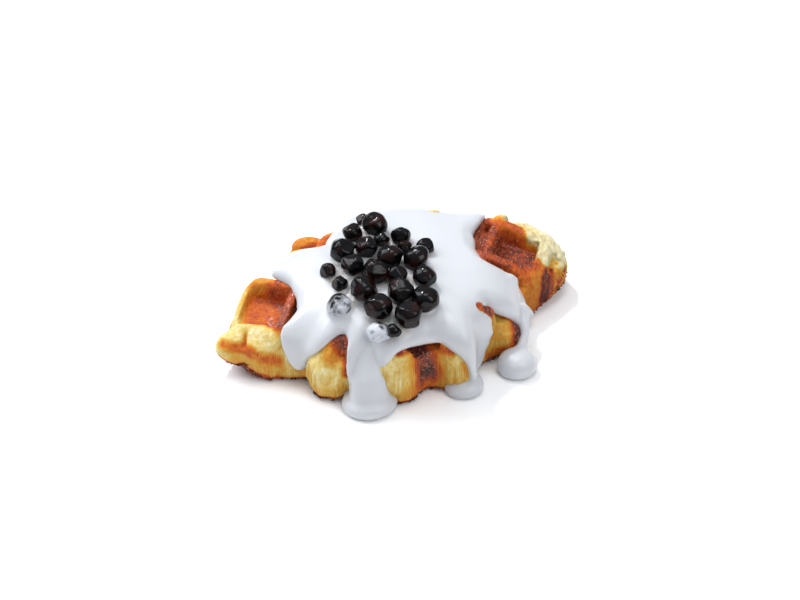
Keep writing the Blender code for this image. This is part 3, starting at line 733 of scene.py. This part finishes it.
tree, sizes_in = new_geometry_tree("torn_flakes_on_rim", ("Flake size", "Thickness"))
leaf = add(tree, "GeometryNodeMeshGrid", {}, {
    "Size X": sizes_in.outputs["Flake size"], "Size Y": sizes_in.outputs["Flake size"],
    "Vertices X": 4, "Vertices Y": 4})
spot = add(tree, "GeometryNodeInputPosition", {}, {})
crinkle = add(tree, "ShaderNodeTexNoise", {"noise_dimensions": "3D"}, {
    "Vector": spot.outputs[0], "Scale": 1.1, "Detail": 2.0})
crinkle_way = add(tree, "ShaderNodeVectorMath", {"operation": "SUBTRACT"}, {
    0: crinkle.outputs["Color"], 1: (0.5, 0.5, 0.5)})
crinkle_size = add(tree, "ShaderNodeVectorMath", {"operation": "MULTIPLY"}, {
    0: crinkle_way.outputs[0], 1: (1.6, 1.6, 1.2)})
crinkled = add(tree, "GeometryNodeSetPosition", {}, {
    "Geometry": leaf.outputs["Mesh"], "Offset": crinkle_size.outputs[0]})
solid = add(tree, "GeometryNodeExtrudeMesh", {"mode": "FACES"}, {
    "Mesh": crinkled.outputs[0], "Offset Scale": sizes_in.outputs["Thickness"], "Individual": False})
turn = add(tree, "GeometryNodeInputNamedAttribute", {"data_type": "FLOAT_VECTOR"}, {"Name": "turn"})
size = add(tree, "GeometryNodeInputNamedAttribute", {"data_type": "FLOAT"}, {"Name": "size"})
stand = add(tree, "GeometryNodeInstanceOnPoints", {}, {
    "Points": sizes_in.outputs["Geometry"], "Instance": solid.outputs["Mesh"],
    "Rotation": turn.outputs["Attribute"], "Scale": size.outputs["Attribute"]})
real = add(tree, "GeometryNodeRealizeInstances", {}, {"Geometry": stand.outputs["Instances"]})

# The same dough baked to a dark amber skin, thin enough to be brittle, with a dull sheen.
flaky, shader_tree, shader = new_material("dark_flaked_crust")
place = add(shader_tree, "ShaderNodeTexCoord", {}, {})
tone = add(shader_tree, "ShaderNodeTexNoise", {}, {
    "Vector": place.outputs["Object"], "Scale": 1 / (3 * MM), "Detail": 3.0})
ramp = add(shader_tree, "ShaderNodeValToRGB", {}, {"Fac": tone.outputs["Fac"]})
for k, (where, code) in enumerate(((0.3, "#2c1008"), (0.7, "#8a4a1c"))):
    ramp.color_ramp.elements[k].position = where
    ramp.color_ramp.elements[k].color = linear(code)
shader_tree.links.new(ramp.outputs["Color"], shader.inputs["Base Color"])
shader.inputs["Roughness"].default_value = 0.48

dressed = add(tree, "GeometryNodeSetMaterial", {}, {"Geometry": real.outputs["Geometry"], "Material": flaky})
add(tree, "NodeGroupOutput", {}, {"Geometry": dressed.outputs["Geometry"]})
grow(flakes, tree, {"Flake size": FLAKE_SIZE, "Thickness": FLAKE_THICKNESS})
flake_points = coords(flakes.data)
flake_points[:, 2] = np.maximum(flake_points[:, 2], FLAKE_FOOT)
set_coords(flakes.data, flake_points)
to_metres(flakes)
settle(flakes, flaky)

# THE CREAM
# A pourable cream sauce, spooned over the warm croffle. It fills the pockets, rounds off at its edge under
# its own surface tension, and runs down the dough in five drips. Three of them end in a puddle on the table.

# An angle in degrees round the heart, and how far the cream has run from the top, along the skin.
CREAM_EDGE = (
    (1, 32.3), (7, 31.8), (16, 34), (25.5, 39), (28.5, 44.5), (31, 49), (38, 52), (48, 50),
    (62, 46), (78, 44), (92, 45), (104, 42), (112.5, 36.5), (124, 33),
    (135, 31.7), (146, 32.6), (150.3, 38.5), (152, 43.5), (158, 46), (166, 45), (170.5, 46),
    (176, 42.1), (179, 40.4), (184, 39.9), (193, 40.7), (199.5, 45.6), (201.0, 50), (204.5, 54),
    (207.5, 58.7), (209.5, 59.9), (211.7, 57.6), (215, 52), (219, 49), (222, 45.6), (226, 39.5),
    (228.5, 38.6), (231.5, 39.8), (233.5, 43), (234.8, 50), (236, 60), (238, 66), (247, 66), (249.3, 60),
    (251, 51.1), (255.5, 43.7), (261.5, 41), (267.5, 39.6), (276, 38.6), (282.5, 40.9), (285.5, 44.5),
    (289, 49.2), (290.5, 53), (292.5, 60), (295, 64), (306.5, 62), (309, 55.8), (310, 53),
    (312.5, 49.5), (314.5, 45), (315.8, 40), (317, 37), (318.8, 38.5), (324.5, 45.3), (329, 51.3),
    (331.5, 55.6), (334, 61), (343, 62), (345.3, 60), (346.3, 50), (347.5, 48), (349.2, 47.4),
    (350.4, 46.4), (350.8, 41), (351.4, 38), (353, 35.4), (357, 32.8),
)
COAT = 3.2
COAT_LIP = 5.0
MOUND = 3.6
MOUND_REACH = 34.0
UNDER_LIP = 1.6
RIM_SHARE = 0.999
POCKET_FILL = 8.5
FILL_START = 2
FILL_REACH = 8.0
# The points that a drip passes, each with its half width.
DRIPS = (
    (((-15.0, -28.0, 20.0), 7.5), ((-16.3, -35.5, 11.0), 7.2), ((-16.8, -37.0, 4.5), 8.0)),
    (((-23.0, -29.5, 9.0), 2.8), ((-25.4, -30.2, 4.2), 1.9)),
    (((20.8, -28.0, 15.0), 4.6), ((18.6, -33.0, 8.0), 4.0), ((17.2, -35.5, 3.8), 5.2)),
    (((44.8, -14.0, 15.0), 3.6), ((45.0, -19.2, 12.4), 2.6), ((44.6, -22.4, 10.0), 2.0),
     ((42.4, -26.2, 8.0), 2.2), ((40.5, -29.0, 6.0), 3.8)),
    (((45.5, -9.0, 13.0), 3.0), ((50.0, -6.8, 5.5), 3.2)),
)
DRIP_BEAD = (1.0, 0.7, 0.8)
DRIP_STEP = 1.2
# The puddles on the table: middle, then half sizes.
PUDDLES = (
    ((-17.0, -36.8, 2.8), (10.2, 8.6, 4.6)),
    ((18.0, -36.0, 2.6), (7.4, 6.4, 4.2)),
    ((39.5, -30.5, 3.6), (7.6, 6.8, 5.8)),
)
# The coat is a ball of this many segments and rings, then one skin of this mesh size.
CREAM_SEGMENTS = 360
CREAM_RINGS = 84
CREAM_VOXEL = 0.5
CREAM_ROUNDS = 18
# A walk down the dough's skin: its tilts, its number of steps, how near it comes to the foot, and the
# stretch that gives the way it faces. The edge is walked every so many degrees.
WALK_TILTS = (90, -78)
WALK_STEPS = 260
WALK_END = 2
WALK_STRETCH = 1.5
EDGE_STEP = 1.5
cream_edge = ring(CREAM_EDGE)


def walk_skin(degrees, reach):
    """Points and normals on the dough, this far from the top of the heart along its skin."""
    tilt = np.linspace(*WALK_TILTS, WALK_STEPS)
    places = np.empty((len(degrees), 3))
    normals = np.empty((len(degrees), 3))
    for angle in np.unique(degrees):
        line = dough_skin(np.full_like(tilt, angle), tilt)
        line[:, 2] = line[:, 2] * thinning(*line[:, :2].T)
        length = np.concatenate([[0], np.cumsum(np.linalg.norm(np.diff(line, axis=0), axis=1))])
        outward = np.array([math.cos(math.radians(angle)), math.sin(math.radians(angle))])
        chosen = degrees == angle
        run = np.minimum(reach[chosen], length[-1] - WALK_END)
        here, before, after = (
            np.stack([np.interp(run + step, length, line[:, axis]) for axis in range(3)], -1)
            for step in (0, -WALK_STRETCH, WALK_STRETCH))
        forward = np.maximum((after - before)[:, :2] @ outward, 0)
        fall = (before - after)[:, 2]
        size = np.hypot(fall, forward)
        places[chosen] = here
        normals[chosen] = np.column_stack([outward[None] * (fall / size)[:, None], forward / size])
    return places, normals


shape = bmesh.new()
bmesh.ops.create_uvsphere(shape, u_segments=CREAM_SEGMENTS, v_segments=CREAM_RINGS, radius=1)
cream = new_object("cream_sauce", shape)
degrees, tilt = sphere_angles(cream.data)
degrees = np.round(degrees, 4)
run_share = 1 - np.abs(tilt) / 90
reach = run_share * cream_edge(degrees)
points, facing = walk_skin(degrees, reach)
rim_angles = np.arange(0, 360, EDGE_STEP)
rim = walk_skin(rim_angles, cream_edge(rim_angles))[0]
from_rim = np.min(np.linalg.norm(points[:, None] - rim[None], axis=2), axis=1)
from_rim[run_share > RIM_SHARE] = 0
lip = np.clip(from_rim / COAT_LIP, 0, 1)
mound = MOUND * np.exp(-((reach / MOUND_REACH) ** 4))
above = COAT * np.sqrt(lip * (2 - lip)) + mound * lip
filled = smooth_step(FILL_START, FILL_START + FILL_REACH, from_rim)
below = UNDER_LIP * np.sqrt(lip * (2 - lip)) + POCKET_FILL * filled
points += facing * np.where(tilt > 0, above, -below)[:, None]
set_coords(cream.data, points)

shape = bmesh.new()
for stops in DRIPS:
    for (start, wide), (end, narrow) in zip(stops, stops[1:]):
        steps = max(2, round((Vector(end) - Vector(start)).length / DRIP_STEP))
        for k in range(steps + 1):
            half = wide + (narrow - wide) * k / steps
            bead = [half * side for side in DRIP_BEAD]
            ellipsoid(shape, Vector(start).lerp(Vector(end), k / steps), bead, 24, 14)
for middle, half in PUDDLES:
    ellipsoid(shape, middle, half)
shape.from_mesh(cream.data)
shape.to_mesh(cream.data)
shape.free()
soften(cream, CREAM_VOXEL, CREAM_ROUNDS)

# The sauce lies in soft waves, flat on the table, and climbs a little up each pearl that sits in it.
WAVE = 0.8
WAVE_SPACING = 15.0
WAVE_HEIGHTS = (8, 16)
CLIMB = 0.7
CLIMB_REACH = 1.6
CLIMB_SLOPE = 0.2
# Syrup, and painted shade between the pearls, show beside a pearl where a second pearl is near too: where
# they start and are full from each.
SYRUP_AND_SHADE_NEAR_FIRST = (3.6, 0.9)
SYRUP_AND_SHADE_NEAR_SECOND = (5.2, 2.3)
FAR_OFF = 99.0
points = coords(cream.data)
facing = directions(cream.data)
wave = np.array([noise.noise(Vector(p) / WAVE_SPACING + Vector((3, 1, 7))) for p in points])
points += facing * (WAVE * wave * smooth_step(*WAVE_HEIGHTS, points[:, 2]))[:, None]
points[:, 2] = np.maximum(points[:, 2] - FLAT_FOOT, 0)
pearl_names = sorted(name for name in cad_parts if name.startswith("pearl_"))
pearl_boxes = [[np.array(corner) / MM + (*CENTRE, 0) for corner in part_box(name)] for name in pearl_names]
from_pearls = np.full((len(points), 2), FAR_OFF)
for low, high in pearl_boxes:
    middle, half = (low + high) / 2, (high - low) / 2
    gap = np.linalg.norm(points - middle, axis=1) - half.mean()
    from_pearls = np.sort(np.column_stack([from_pearls, gap]), axis=1)[:, :2]
climb = CLIMB * smooth_step(CLIMB_REACH, 0, from_pearls[:, 0]) * (facing[:, 2] > CLIMB_SLOPE)
points[:, 2] += climb
# Darker cream where two pearls are near: partly syrup, partly painted shade between the pearls.
syrup_and_shade = smooth_step(*SYRUP_AND_SHADE_NEAR_FIRST, from_pearls[:, 0]) * smooth_step(*SYRUP_AND_SHADE_NEAR_SECOND, from_pearls[:, 1])
syrup_and_shade *= facing[:, 2] > 0
set_coords(cream.data, points)
store(cream.data, "syrup_and_shade", syrup_and_shade)
to_metres(cream)

# Cream sauce: dense white fat and sugar, so light sinks in and comes back soft, under a smooth wet skin.
# Between the pearls it is painted darker: partly their brown syrup that has run into it, partly painted shade
# between the pearls.
dairy, tree, shader = new_material("cream_sauce_poured")
place = add(tree, "ShaderNodeTexCoord", {}, {})
# The darkening between the pearls: partly syrup, partly painted shade.
syrup_shade = add(tree, "ShaderNodeAttribute", {"attribute_name": "syrup_and_shade"}, {})
cloud = add(tree, "ShaderNodeTexNoise", {}, {
    "Vector": place.outputs["Object"], "Scale": 1 / (4 * MM), "Detail": 3.0})
patch = add(tree, "ShaderNodeMath", {"operation": "MULTIPLY", "use_clamp": True}, {
    0: syrup_shade.outputs["Fac"], 1: cloud.outputs["Fac"]})
tint = add(tree, "ShaderNodeMix", {"data_type": "RGBA"}, {
    0: patch.outputs[0], 6: linear("#c4c6ca"), 7: linear("#86796a")})
tree.links.new(tint.outputs[2], shader.inputs["Base Color"])
shader.inputs["Roughness"].default_value = 0.34
shader.inputs["IOR"].default_value = 1.42
shader.inputs["Subsurface Weight"].default_value = 0.5
shader.inputs["Subsurface Radius"].default_value = (1.0, 0.95, 0.9)
shader.inputs["Subsurface Scale"].default_value = 0.0022
shader.inputs["Coat Weight"].default_value = 0.25
shader.inputs["Coat Roughness"].default_value = 0.18
ripple = add(tree, "ShaderNodeTexNoise", {}, {
    "Vector": place.outputs["Object"], "Scale": 1 / (5 * MM), "Detail": 2.0})
bump = add(tree, "ShaderNodeBump", {}, {
    "Height": ripple.outputs["Fac"], "Strength": 0.25, "Distance": 0.5 * MM})
tree.links.new(bump.outputs["Normal"], shader.inputs["Normal"])
settle(cream, dairy)
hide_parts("cream")

# THE PEARLS
# Tapioca pearls boiled in brown sugar syrup: soft starch balls that press each other out of round and
# carry a wet skin. Two of them have sunk so far that a film of cream lies over them.
# Each pearl swells a little past its solid, so that it touches its neighbours.
PEARL_GROWTH = 1.05
# Each pearl is pressed flat from this many sides, and how far from its middle: shares of its half size.
PEARL_FACES = 12
PEARL_FACE_HEIGHTS = (0.70, 1.0)
PEARL_SHARPNESS = 20.0
PEARL_DENT = 0.07
PEARL_DENT_TURNS = 1.3
# The film wears off by this much towards its bare side.
FILM_WEAR = 0.3
FILM_WEAR_RANGE = (0.2, 0.95)
# The cream on a coated pearl, and the side that it has run off.
COATED = {"pearl_24": (0.74, (0.55, 0.45, 0.70)), "pearl_25": (0.64, (-0.45, 0.45, 0.77))}

# Cooked tapioca in syrup: nearly black with a red-brown depth, and a clear wet coat that mirrors the room.
tapioca, tree, shader = new_material("cooked_tapioca")
place = add(tree, "ShaderNodeTexCoord", {}, {})
depths = add(tree, "ShaderNodeTexNoise", {}, {
    "Vector": place.outputs["Object"], "Scale": 1 / (5 * MM), "Detail": 2.0})
ramp = add(tree, "ShaderNodeValToRGB", {}, {"Fac": depths.outputs["Fac"]})
for k, (where, code) in enumerate(((0.48, "#050507"), (0.75, "#2a0f0b"))):
    ramp.color_ramp.elements[k].position = where
    ramp.color_ramp.elements[k].color = linear(code)
film = add(tree, "ShaderNodeAttribute", {"attribute_name": "film"}, {})
specks = add(tree, "ShaderNodeTexNoise", {}, {
    "Vector": place.outputs["Object"], "Scale": 1 / (2.0 * MM), "Detail": 4.0})
speckled = add(tree, "ShaderNodeMath", {"operation": "ADD"}, {
    0: film.outputs["Fac"], 1: specks.outputs["Fac"]})
covered = add(tree, "ShaderNodeMapRange", {}, {
    "Value": speckled.outputs[0], "From Min": 0.9, "From Max": 1.2, "To Min": 0.0, "To Max": 0.9})
coated = add(tree, "ShaderNodeMix", {"data_type": "RGBA"}, {
    0: covered.outputs["Result"], 6: ramp.outputs["Color"], 7: linear("#c2c6ce")})
tree.links.new(coated.outputs[2], shader.inputs["Base Color"])
shader.inputs["Roughness"].default_value = 0.14
shader.inputs["IOR"].default_value = 1.33
shader.inputs["Specular IOR Level"].default_value = 0.25
shader.inputs["Coat Weight"].default_value = 0.3
shader.inputs["Coat Roughness"].default_value = 0.03
shader.inputs["Coat IOR"].default_value = 1.35
dimple = add(tree, "ShaderNodeTexNoise", {}, {
    "Vector": place.outputs["Object"], "Scale": 1 / (2.2 * MM), "Detail": 2.0})
bump = add(tree, "ShaderNodeBump", {}, {
    "Height": dimple.outputs["Fac"], "Strength": 0.5, "Distance": 0.5 * MM})
tree.links.new(bump.outputs["Normal"], shader.inputs["Normal"])

chance = np.random.default_rng(23)
for name, (low, high) in zip(pearl_names, pearl_boxes):
    shape = bmesh.new()
    bmesh.ops.create_icosphere(shape, subdivisions=5, radius=1)
    pearl = new_object("tapioca_" + name, shape)
    rays = coords(pearl.data)
    planes = chance.normal(size=(PEARL_FACES, 3))
    planes /= np.linalg.norm(planes, axis=1)[:, None]
    heights = chance.uniform(*PEARL_FACE_HEIGHTS, PEARL_FACES)
    squeezed = 1 + ((rays @ planes.T).clip(0) / heights) ** PEARL_SHARPNESS @ np.ones(PEARL_FACES)
    length = squeezed ** (-1 / PEARL_SHARPNESS)
    offset = Vector(chance.uniform(0, 50, 3))
    dents = np.array([noise.noise(Vector(ray) * PEARL_DENT_TURNS + offset) for ray in rays])
    length *= 1 + PEARL_DENT * dents
    ball = rays * length[:, None]
    span_low, span_high = ball.min(axis=0), ball.max(axis=0)
    ball = (ball - (span_low + span_high) / 2) / (span_high - span_low) * 2
    points = (low + high) / 2 + ball * (high - low) / 2 * PEARL_GROWTH
    set_coords(pearl.data, points)
    film_here, bare_side = COATED.get(name, (0.0, (0, 0, 1)))
    worn = FILM_WEAR * smooth_step(*FILM_WEAR_RANGE, ball @ bare_side)
    store(pearl.data, "film", film_here - worn)
    to_metres(pearl)
    settle(pearl, tapioca)
    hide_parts(name)

# THE STUDIO
# A pale matt table top that goes on past the picture, large soft lamps with a small one for the sparkle,
# and the camera of the photo: it looks down at forty degrees from a little to the left.
TABLE_HALF = 3.0
shape = bmesh.new()
bmesh.ops.create_grid(shape, x_segments=1, y_segments=1, size=TABLE_HALF)
table_top = new_object("table_top", shape)
matt_white, tree, shader = new_material("matt_white_board")
shader.inputs["Base Color"].default_value = linear("#fafafa")
shader.inputs["Roughness"].default_value = 0.8
table_top.data.materials.append(matt_white)

AZIMUTH = math.radians(-13)
ELEVATION = math.radians(40)
TARGET = Vector((3.0 - CENTRE[0], 2.0 - CENTRE[1], 14.0)) * MM
DISTANCE = 0.52
SENSOR = 36
FOCAL_PIXELS = 1390
PICTURE_WIDTH = 800
back = Vector((
    math.sin(AZIMUTH) * math.cos(ELEVATION), -math.cos(AZIMUTH) * math.cos(ELEVATION), math.sin(ELEVATION)))
lens = bpy.data.cameras.new("camera")
lens.sensor_width = SENSOR
lens.lens = SENSOR * FOCAL_PIXELS / PICTURE_WIDTH
lens.clip_start = 0.01
camera = bpy.data.objects.new("camera", lens)
camera.location = TARGET + back * DISTANCE
camera.rotation_euler = back.to_track_quat("Z", "Y").to_euler()
bpy.context.scene.collection.objects.link(camera)
bpy.context.scene.camera = camera

# Each lamp: where it stands, its size, its power and its colour. All of them look at the food.
LAMPS = (
    ("window_lamp", (-0.55, 0.45, 0.75), (0.5, 0.7), 6.2, "#f7faff"),
    ("front_lamp", (0.45, -0.65, 0.70), (0.5, 0.5), 2.8, "#ffffff"),
    ("top_lamp", (0.05, 0.05, 1.0), (0.4, 0.4), 2.6, "#fafcff"),
    ("small_lamp", (-0.15, 0.50, 0.80), (0.08, 0.08), 4.6, "#ffffff"),
)
for name, place, (wide, tall), power, colour in LAMPS:
    lamp = bpy.data.lights.new(name, "AREA")
    lamp.shape = "RECTANGLE"
    lamp.size = wide
    lamp.size_y = tall
    lamp.energy = power
    lamp.color = linear(colour)[:3]
    stand = bpy.data.objects.new(name, lamp)
    stand.location = place
    stand.rotation_euler = (Vector(place) - TARGET).to_track_quat("Z", "Y").to_euler()
    bpy.context.scene.collection.objects.link(stand)
room = bpy.data.worlds.new("studio_room")
room.use_nodes = True
backdrop = room.node_tree.nodes["Background"]
backdrop.inputs["Color"].default_value = linear("#f2f5fa")
direction = add(room.node_tree, "ShaderNodeTexCoord", {}, {})
upward = add(room.node_tree, "ShaderNodeSeparateXYZ", {}, {0: direction.outputs["Generated"]})
brightness = add(room.node_tree, "ShaderNodeMapRange", {}, {
    "Value": upward.outputs["Z"], "From Min": 0.0, "From Max": 0.8, "To Min": 0.16, "To Max": 0.68})
room.node_tree.links.new(brightness.outputs["Result"], backdrop.inputs["Strength"])
bpy.context.scene.world = room
bpy.context.scene.view_settings.view_transform = "Standard"
